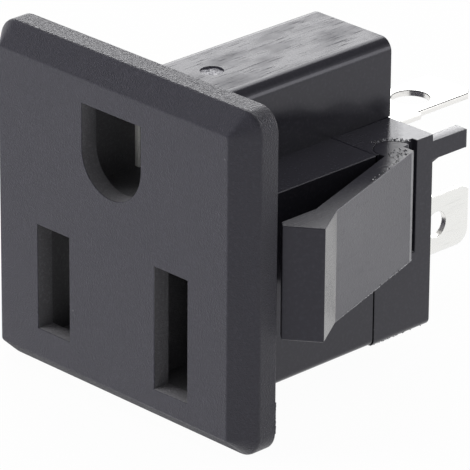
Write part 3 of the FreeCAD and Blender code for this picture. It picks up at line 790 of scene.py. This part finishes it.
def make_flash(name, body, slot, patches, threads, settings, material):
    """Turns patches and lines, in millimetres, into a mesh of crumbs and threads on a body.

    A patch is four corners and its crumbs for each square millimetre.
    """
    bm = bmesh.new()
    crumbs = bm.faces.layers.float.new("crumbs")
    for corners, share in patches:
        face = bm.faces.new([bm.verts.new(Vector(corner) * MM) for corner in corners])
        face[crumbs] = share * CRUMBS_PER_SQUARE_METRE
    for points in threads:
        verts = [bm.verts.new(Vector(point) * MM) for point in points]
        for first, second in zip(verts, verts[1:]):
            bm.edges.new((first, second))
    places = bpy.data.meshes.new(name)
    bm.to_mesh(places)
    bm.free()
    piece = bpy.data.objects.new(name, places)
    bpy.context.scene.collection.objects.link(piece)
    tree = bpy.data.node_groups.get("Mould Flash") or flash_tree()
    scatter = piece.modifiers.new("Mould Flash", "NODES")
    scatter.node_group = tree
    values = {
        "Crumb Size": settings.crumb_size,
        "Thread Size": settings.thread_size,
        "Seed": settings.seed,
        "Material": material,
    }
    for item in tree.interface.items_tree:
        if item.in_out == "INPUT" and item.name in values:
            scatter[item.identifier] = values[item.name]
    apply_modifiers(piece)
    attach(piece, body)
    return piece


def arc_patches(centre, radii, angles, height, share, steps=6):
    """Lists the patches of a flat ring's part round a centre, seen from above."""
    start, end = (math.radians(angle) for angle in angles)
    turns = [start + (end - start) * step / steps for step in range(steps + 1)]
    near, far = radii
    patches = []
    for first, second in zip(turns, turns[1:]):
        ends = ((first, near), (first, far), (second, far), (second, near))
        corners = [
            (centre[0] + radius * math.cos(turn), centre[1] + radius * math.sin(turn), height)
            for turn, radius in ends
        ]
        patches.append((corners, share))
    return patches


def arm_edge(y, inset):
    """Gives the x of a latch's outer face at a place along it, moved inwards by the inset."""
    return ARM_START[0] + (ARM_START[1] - y) * ARM_SLOPE - inset


def mirrored(patches, threads):
    """Gives the same places on the other side of the socket."""

    def flip(points):
        return [(-x, y, z) for x, y, z in points]

    flipped = [(flip(corners)[::-1], share) for corners, share in patches]
    return flipped, [flip(line) for line in threads]


# Operators


def flange_radius(settings):
    """Gives each edge of the housing its radius: soft round the flange, crisp elsewhere."""

    def radius_at(middle):
        x, y, z = middle / MM
        if y > FLANGE_BACK - 0.05:
            is_mark = math.dist((x, y), MARK) < 1.2 and z > TOWER_TOP - 0.2
            return 0.3 * settings.crisp_radius if is_mark else settings.crisp_radius
        if y > FACE_Y + 0.05:
            outside = abs(x) > FACE_SIDE + 0.05 or abs(z) > FACE_TOP + 0.05
            return settings.edge_radius if outside else settings.crisp_radius
        is_rim = abs(x) > FACE_SIDE - 1.9 or abs(z) > FACE_TOP - 1.9
        return 0.6 * settings.edge_radius if is_rim else settings.crisp_radius

    return radius_at


GRAINED, SMOOTH, BRUSHED, BURRED, SPARKLING, SLOT, SHADED, CHAMBER = range(8)


def housing_plastic(face):
    """Picks the plastic of one of the housing's faces."""
    x, y, z = face.center / MM
    is_blade_chamber = abs(x) < 8.3 and -10.5 < z < 2.4
    is_earth_channel = abs(x) < 3.6 and 3.2 < z < 10.1
    # Painted light: the chambers' faces get a paler plastic, for light that reaches into them
    if y > CHAMBER_START and (is_blade_chamber or is_earth_channel):
        return CHAMBER
    if y > FLANGE_BACK + 0.05:
        # The ejector mark's floor and wall get a paler plastic: its own burred look, and painted
        # light over the shade on its wall
        if math.dist((x, y), MARK) < 1.0 and TOWER_TOP - 0.15 < z < TOWER_TOP - 0.01:
            return BURRED
        return BRUSHED if face.normal.z > 0.999 and z > TOWER_TOP - 0.01 else SMOOTH
    if FACE_Y + 0.05 < y < FLANGE_BACK - 0.01:
        if z > FLANGE_TOP - 0.05:
            return SPARKLING
        # Painted light: the slot walls get a paler plastic as well
        if abs(x) < FACE_SIDE - 1.9 and abs(z) < FACE_TOP - 0.5:
            return SLOT
        if face.normal.z < -0.4 and abs(face.normal.x) < 0.2:
            return SHADED
    return GRAINED


class SocketFrontHousing(Operator):
    """Rounds the housing's edges and gives it a grained flange, a smooth body and a brushed top"""

    bl_idname = "socket.front_housing"
    bl_label = "Front Housing"

    def execute(self, context):
        settings = context.scene.socket_plastic
        colour = Vector(settings.colour)
        piece = rounded_copy(
            "front_housing", settings.edge_radius, "moulded_housing", flange_radius(settings)
        )
        grain = (settings.grain_size, settings.grain_depth)
        fine = 0.12 * MM
        plain = (0.2 * MM, 0.0)
        wide = (0.3 * MM, 0.0)
        rough = (0.5, 0.6)
        for material in (
            plastic_material("grained plastic", colour, grain, wide, (0.33, 0.4), ior=1.43),
            plastic_material(
                "smooth plastic", colour, (fine, 0.001 * MM), (0.2 * MM, 0.001 * MM), (0.16, 0.26)
            ),
            plastic_material(
                "brushed plastic",
                colour,
                (fine, 0.004 * MM),
                (0.11 * MM, 0.006 * MM),
                (0.14, 0.75),
                ior=1.43,
            ),
            # Twice as pale as the plastic: partly the mark's own look, partly painted light over
            # the shade on its wall
            plastic_material(
                "mark plastic with painted light", colour * 2.0, (0.3 * MM, 0.06 * MM), plain, (0.15, 0.3), ior=1.65
            ),
            plastic_material(
                "sparkling plastic", colour, (0.13 * MM, 0.06 * MM), wide, (0.18, 0.3), ior=1.5
            ),
            # The slot and chamber plastics are painted lighter than the plastic, for light that
            # reaches into these hollows
            plastic_material("painted-light slot plastic", SLOT_PAINTED_LIGHT_COLOUR, grain, plain, rough, dust=0.0),
            plastic_material("shaded plastic", colour, grain, plain, (0.4, 0.5), ior=1.1),
            plastic_material("painted-light chamber plastic", CHAMBER_PAINTED_LIGHT_COLOUR, grain, plain, rough, dust=0.0),
        ):
            piece.data.materials.append(material)
        for face in piece.data.polygons:
            face.material_index = housing_plastic(face)
        return {"FINISHED"}


def cover_radius(settings):
    """Gives the cover's edges the crisp radius, and less of it round the latches' grooves."""

    def radius_at(middle):
        x, y, z = middle / MM
        if y > POST_ROUND_START:
            return 0.0
        is_groove = math.dist((abs(x), y), ROOT) < 1.75 and z > BODY_TOP - 0.1
        return 0.2 * settings.crisp_radius if is_groove else settings.crisp_radius

    return radius_at


class SocketRearCover(Operator):
    """Rounds the rear cover's edges and gives it smooth plastic, a brushed top with a painted
    reflection, and a painted shadow in the seam
    """

    bl_idname = "socket.rear_cover"
    bl_label = "Rear Cover"

    def execute(self, context):
        settings = context.scene.socket_plastic
        piece = rounded_copy(
            "rear_cover", settings.crisp_radius, "moulded_cover", cover_radius(settings)
        )
        colour = Vector(settings.colour)
        # Painted reflection: the cover's top grows paler where it would mirror the bright backdrop
        # past the tower
        highlit = plastic_material(
            "cover top plastic with painted reflection",
            colour,
            (0.12 * MM, 0.003 * MM),
            (0.11 * MM, 0.002 * MM),
            (0.14, 0.3),
            painted_highlight=(25.6 * MM, 1.0 * MM, 1.0, 0.4),
        )
        # Painted shadow: the cover's chamfer at the seam is near black, for the shade in the gap
        # between housing and cover
        seam_shadow = plastic_material(
            "seam plastic with painted shadow",
            0.1 * colour,
            (0.12 * MM, 0.003 * MM),
            (0.2 * MM, 0.0),
            (0.5, 0.6),
            ior=1.1,
        )
        for material in (bpy.data.materials["smooth plastic"], highlit, seam_shadow):
            piece.data.materials.append(material)
        for face in piece.data.polygons:
            x, y, z = face.normal
            # The top behind the seam gets the painted reflection; the seam's chamfer near the sides
            # gets the painted shadow
            if z > 0.9 and face.center.y > SEAM * MM:
                face.material_index = 1
            elif -0.95 < y < -0.4 and face.center.y < (SEAM + 0.2) * MM:
                face.material_index = 2 if abs(face.center.x) > (BODY_SIDE - 0.25) * MM else 0
        return {"FINISHED"}


def latch_radius(settings):
    """Gives the upright edge at a latch's heel the soft radius, and its other edges the crisp one.

    The lower edges are rounded already, so they get none.
    """

    def radius_at(middle):
        x, y, z = middle / MM
        if z < LATCH_LOW + 0.22:
            return 0.0
        is_behind = y > ROOT[1] + 0.8 and abs(x) > BODY_SIDE + 0.6
        is_heel = is_behind and LATCH_LOW + 1 < z < BODY_TOP - 1
        return settings.heel_radius if is_heel else settings.crisp_radius

    return radius_at


class SocketSnapLatches(Operator):
    """Rounds the edges of both snap latches and gives them satin plastic with dim tops, painted
    reflections on the tops, a painted highlight at the heels and a painted sheen on the kick strips
    """

    bl_idname = "socket.snap_latches"
    bl_label = "Snap Latches"

    def execute(self, context):
        settings = context.scene.socket_plastic
        colour = Vector(settings.colour)
        streaks = (0.25 * MM, 0.0)
        satin = plastic_material(
            "satin plastic", colour, (0.15 * MM, 0.009 * MM), streaks, (0.36, 0.42), ior=1.42
        )
        # Painted reflection: the latch tops grow paler towards the root and outwards
        dim = plastic_material(
            "dim plastic",
            colour,
            (0.12 * MM, 0.004 * MM),
            (0.2 * MM, 0.002 * MM),
            (0.15, 0.3),
            ior=1.18,
            painted_highlight=(29.0 * MM, 2.4 * MM, 1.5, 0.34),
        )
        grain = (0.12 * MM, 0.012 * MM)
        # Painted highlight: a pale line on the outer face along the heel's upright edge
        sheer = plastic_material(
            "sheer plastic",
            colour,
            grain,
            streaks,
            (0.34, 0.42),
            ior=1.75,
            painted_highlight=(HEEL_LINE * MM, 0.14 * MM, 0.0, 0.36),
        )
        # Painted sheen on the kick strips: a paler, warmer grey than the plastic
        kick_sheen = plastic_material(
            "kick plastic with painted sheen", KICK_SHEEN_COLOUR, (0.12 * MM, 0.003 * MM), streaks, (0.14, 0.2), ior=1.8
        )
        for side in ("right", "left"):
            node = f"snap_latch_{side}"
            piece = rounded_copy(
                node, settings.heel_radius, f"moulded_latch_{side}", latch_radius(settings)
            )
            for material in (satin, dim, sheer, kick_sheen):
                piece.data.materials.append(material)
            for face in piece.data.polygons:
                # Tops get the painted reflection, kick strips the painted sheen, other outer faces
                # the painted highlight at the heel
                x, y, z = face.normal
                if z > 0.9:
                    face.material_index = 1
                elif abs(x) > 0.8 and y > 0.2:
                    face.material_index = 3 if y > 0.45 else 2
        return {"FINISHED"}


def whiten(material):
    """Makes about half of a plastic's crumbs behind the flange pale."""
    tree = material.node_tree
    surface = tree.nodes["Principled BSDF"]
    dark = surface.inputs["Base Color"].links[0].from_socket
    place = tree.nodes["Texture Coordinate"].outputs["Object"]
    pale_noise = add_node(tree, "ShaderNodeTexNoise", {"Vector": place, "Scale": 1.0 / (0.25 * MM)})
    depth = add_node(tree, "ShaderNodeSeparateXYZ", {"Vector": place}).outputs["Y"]
    behind = maths(tree, "GREATER_THAN", depth, 5 * MM)
    share = maths(tree, "MULTIPLY", remap(tree, pale_noise.outputs["Fac"], 0.48, 0.56), behind)
    tint = mix_colours(tree, share, dark, PALE_CRUMB_COLOUR)
    tree.links.new(tint, surface.inputs["Base Color"])


class SocketMouldFlash(Operator):
    """Scatters the crumbs and threads of plastic that the moulds leave along some edges"""

    bl_idname = "socket.mould_flash"
    bl_label = "Mould Flash"

    def execute(self, context):
        settings = context.scene.socket_flash
        # Painted shade: the flash is darker than the plastic it is made of, so that the crumbs in
        # the seam and on the edges look shaded
        material = plastic_material(
            "flash plastic",
            0.4 * Vector(context.scene.socket_plastic.colour),
            (0.1 * MM, 0.004 * MM),
            (0.1 * MM, 0.0),
            (0.2, 0.3),
            ior=1.8,
        )
        whiten(material)
        patches, threads = self.cover_places()
        more_patches, more_threads = mirrored(patches, threads)
        housing_patches, housing_threads = self.housing_places()
        make_flash(
            "mould_flash_socket",
            "socket",
            "housing_plastic",
            patches + more_patches + housing_patches,
            threads + more_threads + housing_threads,
            settings,
            material,
        )
        places = self.latch_places()
        make_flash("mould_flash_right", "latch_right", "cover_plastic", *places, settings, material)
        places = mirrored(*places)
        make_flash("mould_flash_left", "latch_left", "cover_plastic", *places, settings, material)
        return {"FINISHED"}

    def cover_places(self):
        """Lists the crumbs on the cover's lower edge, a groove's rim and the seam."""
        middle = (BODY_SIDE - COVER_CORNER, COVER_LOW + COVER_CORNER)
        rim = [
            (middle[0] + COVER_CORNER * math.cos(turn), middle[1] - COVER_CORNER * math.sin(turn))
            for turn in (math.radians(45), math.radians(72))
        ]
        (x0, z0), (x1, z1) = rim
        patches = []
        for start, end, share in ((15.15, 17.2, 30), (17.2, 19.4, 16), (19.4, 20.4, 6)):
            corners = [(x0, start, z0), (x1, start, z1), (x1, end, z1), (x0, end, z0)]
            patches.append((corners, share))
        patches += arc_patches(ROOT, (1.62, 2.1), (95, 190), BODY_TOP, 40)
        front, back = SEAM - 0.05, SEAM + 0.15
        low, high = COVER_LOW + 0.85, LATCH_LOW - 0.5
        places = ((front, low), (back, low), (back, high), (front, high))
        patches.append(([(BODY_SIDE, y, z) for y, z in places], 3))
        return patches, []

    def housing_places(self):
        """Lists the nicks on the flange's front edge and the threads on its rear edge."""
        low, high = FACE_TOP - 0.03, FACE_TOP + 0.1
        front = FACE_Y + 0.1
        corners = [(x, front, z) for x, z in ((-12, low), (12, low), (12, high), (-12, high))]
        top = FLANGE_TOP - 0.06
        side = FLANGE_SIDE - 0.02
        threads = [
            [(2.3, 0.0, top), (4.4, 0.0, top)],
            [(-4.1, 0.0, top), (-3.4, 0.0, top)],
            [(side, 0.0, -9.4), (side, 0.0, -11.9)],
        ]
        return [(corners, 4)], threads

    def latch_places(self):
        """Lists the crumbs on a latch's root and arm, and the thread along the arm's lower edge."""
        root = ((9.3, 15.6), (10.8, 15.6), (10.3, 17.4), (9.2, 17.4))
        patches = [([(x, y, BODY_TOP) for x, y in root], 20)]
        for start, end, share in ((11.2, 12.6, 12), (12.6, 15.6, 24)):
            corners = [
                (arm_edge(start, 0.3), start, BODY_TOP),
                (arm_edge(start, 0.04), start, BODY_TOP),
                (arm_edge(end, 0.04), end, BODY_TOP),
                (arm_edge(end, 0.3), end, BODY_TOP),
            ]
            patches.append((corners, share))
        low = LATCH_LOW + 0.12
        for start, end, share in ((6.0, 11.0, 9), (11.0, 17.5, 22)):
            corners = [
                (arm_edge(start, 0.04), start, low - 0.06),
                (arm_edge(start, 0.04), start, low + 0.12),
                (arm_edge(end, 0.04), end, low + 0.12),
                (arm_edge(end, 0.04), end, low - 0.06),
            ]
            patches.append((corners, share))
        return patches, [[(arm_edge(y, 0.05), y, low - 0.02) for y in (7.5, 11.0, 17.6)]]


class SocketContacts(Operator):
    """Rounds the stamped edges of the three contacts and gives them tin plating"""

    bl_idname = "socket.contacts"
    bl_label = "Contacts"

    def execute(self, context):
        settings = context.scene.socket_contacts
        tin = tin_material("tinned strip", Vector(settings.colour))
        cut = tin_material("cut edge", Vector(settings.cut_colour))
        # Painted shade: the rounded top edges of the earth tab are painted near black
        shaded_arris = tin_material("arris with painted shade", 0.08 * Vector(settings.cut_colour))
        dull = tin_material("dull strip", Vector(settings.colour), (0.6, 0.9))
        for kind in ("hot", "neutral", "ground"):
            piece = rounded_copy(f"{kind}_contact", settings.edge_radius, f"tinned_contact_{kind}")
            for material in (tin, cut, shaded_arris, dull):
                piece.data.materials.append(material)
            across = 2 if kind == "ground" else 0
            for face in piece.data.polygons:
                y = face.center.y / MM
                if y < SEAM - 1.0:
                    face.material_index = 3
                elif y > SEAM and abs(face.normal[across]) < 0.97:
                    # Painted shade on the earth tab's rounded top edges
                    is_shaded_arris = face.normal.z > 0.3 and across == 2 and y > WIDE_TAB_START
                    is_cut = abs(face.normal[across]) < 0.5
                    face.material_index = 2 if is_shaded_arris else 1 if is_cut else 0
        return {"FINISHED"}


def area_lamp(name, place, size, radiance, mirrored_too=True, lights_too=True):
    """Adds a square soft lamp, aimed at the socket, that is as bright as its radiance says.

    It may be left out of the gloss, or light nothing and show in the gloss alone.
    """
    lamp = bpy.data.lights.new(name, "AREA")
    lamp.shape = "SQUARE"
    lamp.size = size
    lamp.energy = radiance * math.pi * size * size
    holder = bpy.data.objects.new(name, lamp)
    holder.location = place
    aim = (CAD_BOX[0] + CAD_BOX[1]) / 2
    holder.rotation_euler = (aim - Vector(place)).to_track_quat("-Z", "Y").to_euler()
    holder.visible_glossy = mirrored_too
    holder.visible_diffuse = lights_too
    bpy.context.scene.collection.objects.link(holder)


def light_path_share(tree, kinds):
    """Gives 1 to the rays of these kinds and 0 to the others."""
    path = tree.nodes.get("Light Path") or tree.nodes.new("ShaderNodeLightPath")
    share = path.outputs[kinds[0]]
    for kind in kinds[1:]:
        share = maths(tree, "MAXIMUM", share, path.outputs[kind])
    return share


WHITE_RAYS = ("Is Camera Ray", "Is Glossy Ray", "Is Transmission Ray")
FLOOR_REACH = 3.0
FLOOR_GLOW = 0.97


class SocketStage(Operator):
    """Makes the pale floor, the white backdrop, the soft lamps and the camera"""

    bl_idname = "socket.stage"
    bl_label = "Stage"

    def execute(self, context):
        scene = context.scene
        settings = scene.socket_stage
        self.make_floor(scene, settings)
        self.make_backdrop(scene)
        area_lamp("back softbox", (-0.42, 0.42, 0.30), 0.5, 2.5)
        area_lamp("rim softbox", (0.05, 0.62, 0.13), 0.3, 4.0)
        area_lamp("edge strip", (0.53, 0.45, 0.11), 0.24, 2.3, lights_too=False)
        area_lamp("front fill", (-0.52, -0.58, 0.18), 0.5, 8.0, mirrored_too=False)
        area_lamp("top fill", (0.0, 0.0, 0.65), 0.5, 1.4, mirrored_too=False)
        self.make_camera(scene, settings)
        scene.view_settings.view_transform = "Standard"
        return {"FINISHED"}

    def make_floor(self, scene, settings):
        """Makes a floor that looks white and still takes the socket's shadow."""
        mesh = bpy.data.meshes.new("floor")
        corners = ((-1, -1), (1, -1), (1, 1), (-1, 1))
        verts = [(FLOOR_REACH * x, FLOOR_REACH * y, CAD_BOX[0].z) for x, y in corners]
        mesh.from_pydata(verts, [], [(0, 1, 2, 3)])
        floor = bpy.data.objects.new("floor", mesh)
        scene.collection.objects.link(floor)
        material = bpy.data.materials.new("pale floor")
        material.use_nodes = True
        tree = material.node_tree
        surface = tree.nodes["Principled BSDF"]
        surface.inputs["Base Color"].default_value = (*settings.floor_colour, 1.0)
        surface.inputs["Roughness"].default_value = 0.8
        glow = add_node(tree, "ShaderNodeEmission", {"Color": (1, 1, 1, 1), "Strength": 1.0})
        share = maths(tree, "MULTIPLY", light_path_share(tree, WHITE_RAYS), FLOOR_GLOW)
        mix = add_node(
            tree, "ShaderNodeMixShader", {0: share, 1: surface.outputs["BSDF"], 2: glow.outputs[0]}
        )
        tree.links.new(mix.outputs["Shader"], tree.nodes["Material Output"].inputs["Surface"])
        mesh.materials.append(material)

    def make_backdrop(self, scene):
        """Makes a white world that lights the socket softly and is dimmer overhead in its gloss."""
        world = bpy.data.worlds.new("white backdrop")
        world.use_nodes = True
        tree = world.node_tree
        lit = tree.nodes["Background"]
        lit.inputs["Color"].default_value = (1, 1, 1, 1)
        lit.inputs["Strength"].default_value = 0.15
        heading = tree.nodes.new("ShaderNodeTexCoord").outputs["Generated"]
        height = add_node(tree, "ShaderNodeSeparateXYZ", {"Vector": heading}).outputs["Z"]
        sky = remap(tree, height, 0.42, 0.6, 1.0, 0.25)
        glossy = add_node(tree, "ShaderNodeBackground", {"Strength": sky})
        white = add_node(tree, "ShaderNodeBackground", {"Color": (1, 1, 1, 1), "Strength": 1.0})
        result = lit
        for kinds, layer in ((WHITE_RAYS[1:], glossy), (WHITE_RAYS[:1], white)):
            share = light_path_share(tree, kinds)
            inputs = {0: share, 1: result.outputs[0], 2: layer.outputs[0]}
            result = add_node(tree, "ShaderNodeMixShader", inputs)
        tree.links.new(result.outputs[0], tree.nodes["World Output"].inputs["Surface"])
        scene.world = world

    def make_camera(self, scene, settings):
        """Makes the camera, with its focus blur left off, at the place the photo was taken from."""
        data = bpy.data.cameras.new("camera")
        data.sensor_width = 36.0
        data.lens = settings.lens
        data.clip_start = 0.01
        data.clip_end = 20.0
        camera = bpy.data.objects.new("camera", data)
        scene.collection.objects.link(camera)
        azimuth, elevation, roll = (math.radians(angle) for angle in CAMERA_TURN)
        right = Vector((math.cos(azimuth), math.sin(azimuth), 0))
        level = math.cos(elevation)
        back = Vector((math.sin(azimuth) * level, -math.cos(azimuth) * level, math.sin(elevation)))
        up = back.cross(right)
        turned_right = math.cos(roll) * right + math.sin(roll) * up
        turned_up = math.cos(roll) * up - math.sin(roll) * right
        turn = Matrix((turned_right, turned_up, back)).transposed()
        camera.matrix_world = Matrix.Translation(Vector(CAMERA_PLACE) * MM) @ turn.to_4x4()
        scene.camera = camera


class SocketSidebar(Panel):
    """Lists the steps that finish the socket"""

    bl_idname = "SOCKET_PT_sidebar"
    bl_label = "Power Socket"
    bl_space_type = "VIEW_3D"
    bl_region_type = "UI"
    bl_category = "Power Socket"

    def draw(self, context):
        for step in STEPS:
            self.layout.operator(step.bl_idname)
        for name in SETTINGS:
            settings = getattr(context.scene, name)
            for key in settings.bl_rna.properties.keys():
                if key not in ("rna_type", "name"):
                    self.layout.prop(settings, key)


SETTINGS = {
    "socket_plastic": SocketPlasticSettings,
    "socket_flash": SocketFlashSettings,
    "socket_contacts": SocketContactSettings,
    "socket_stage": SocketStageSettings,
}
STEPS = (
    SocketFrontHousing,
    SocketRearCover,
    SocketSnapLatches,
    SocketMouldFlash,
    SocketContacts,
    SocketStage,
)


def register():
    for group in SETTINGS.values():
        bpy.utils.register_class(group)
    for name, group in SETTINGS.items():
        setattr(bpy.types.Scene, name, PointerProperty(type=group))
    for step in STEPS:
        bpy.utils.register_class(step)
    bpy.utils.register_class(SocketSidebar)


def unregister():
    bpy.utils.unregister_class(SocketSidebar)
    for step in reversed(STEPS):
        bpy.utils.unregister_class(step)
    for name in SETTINGS:
        delattr(bpy.types.Scene, name)
    for group in reversed(list(SETTINGS.values())):
        bpy.utils.unregister_class(group)


def main():
    register()
    bpy.ops.socket.front_housing()
    bpy.ops.socket.rear_cover()
    bpy.ops.socket.snap_latches()
    bpy.ops.socket.mould_flash()
    bpy.ops.socket.contacts()
    bpy.ops.socket.stage()


if __name__ == "__main__":
    main()
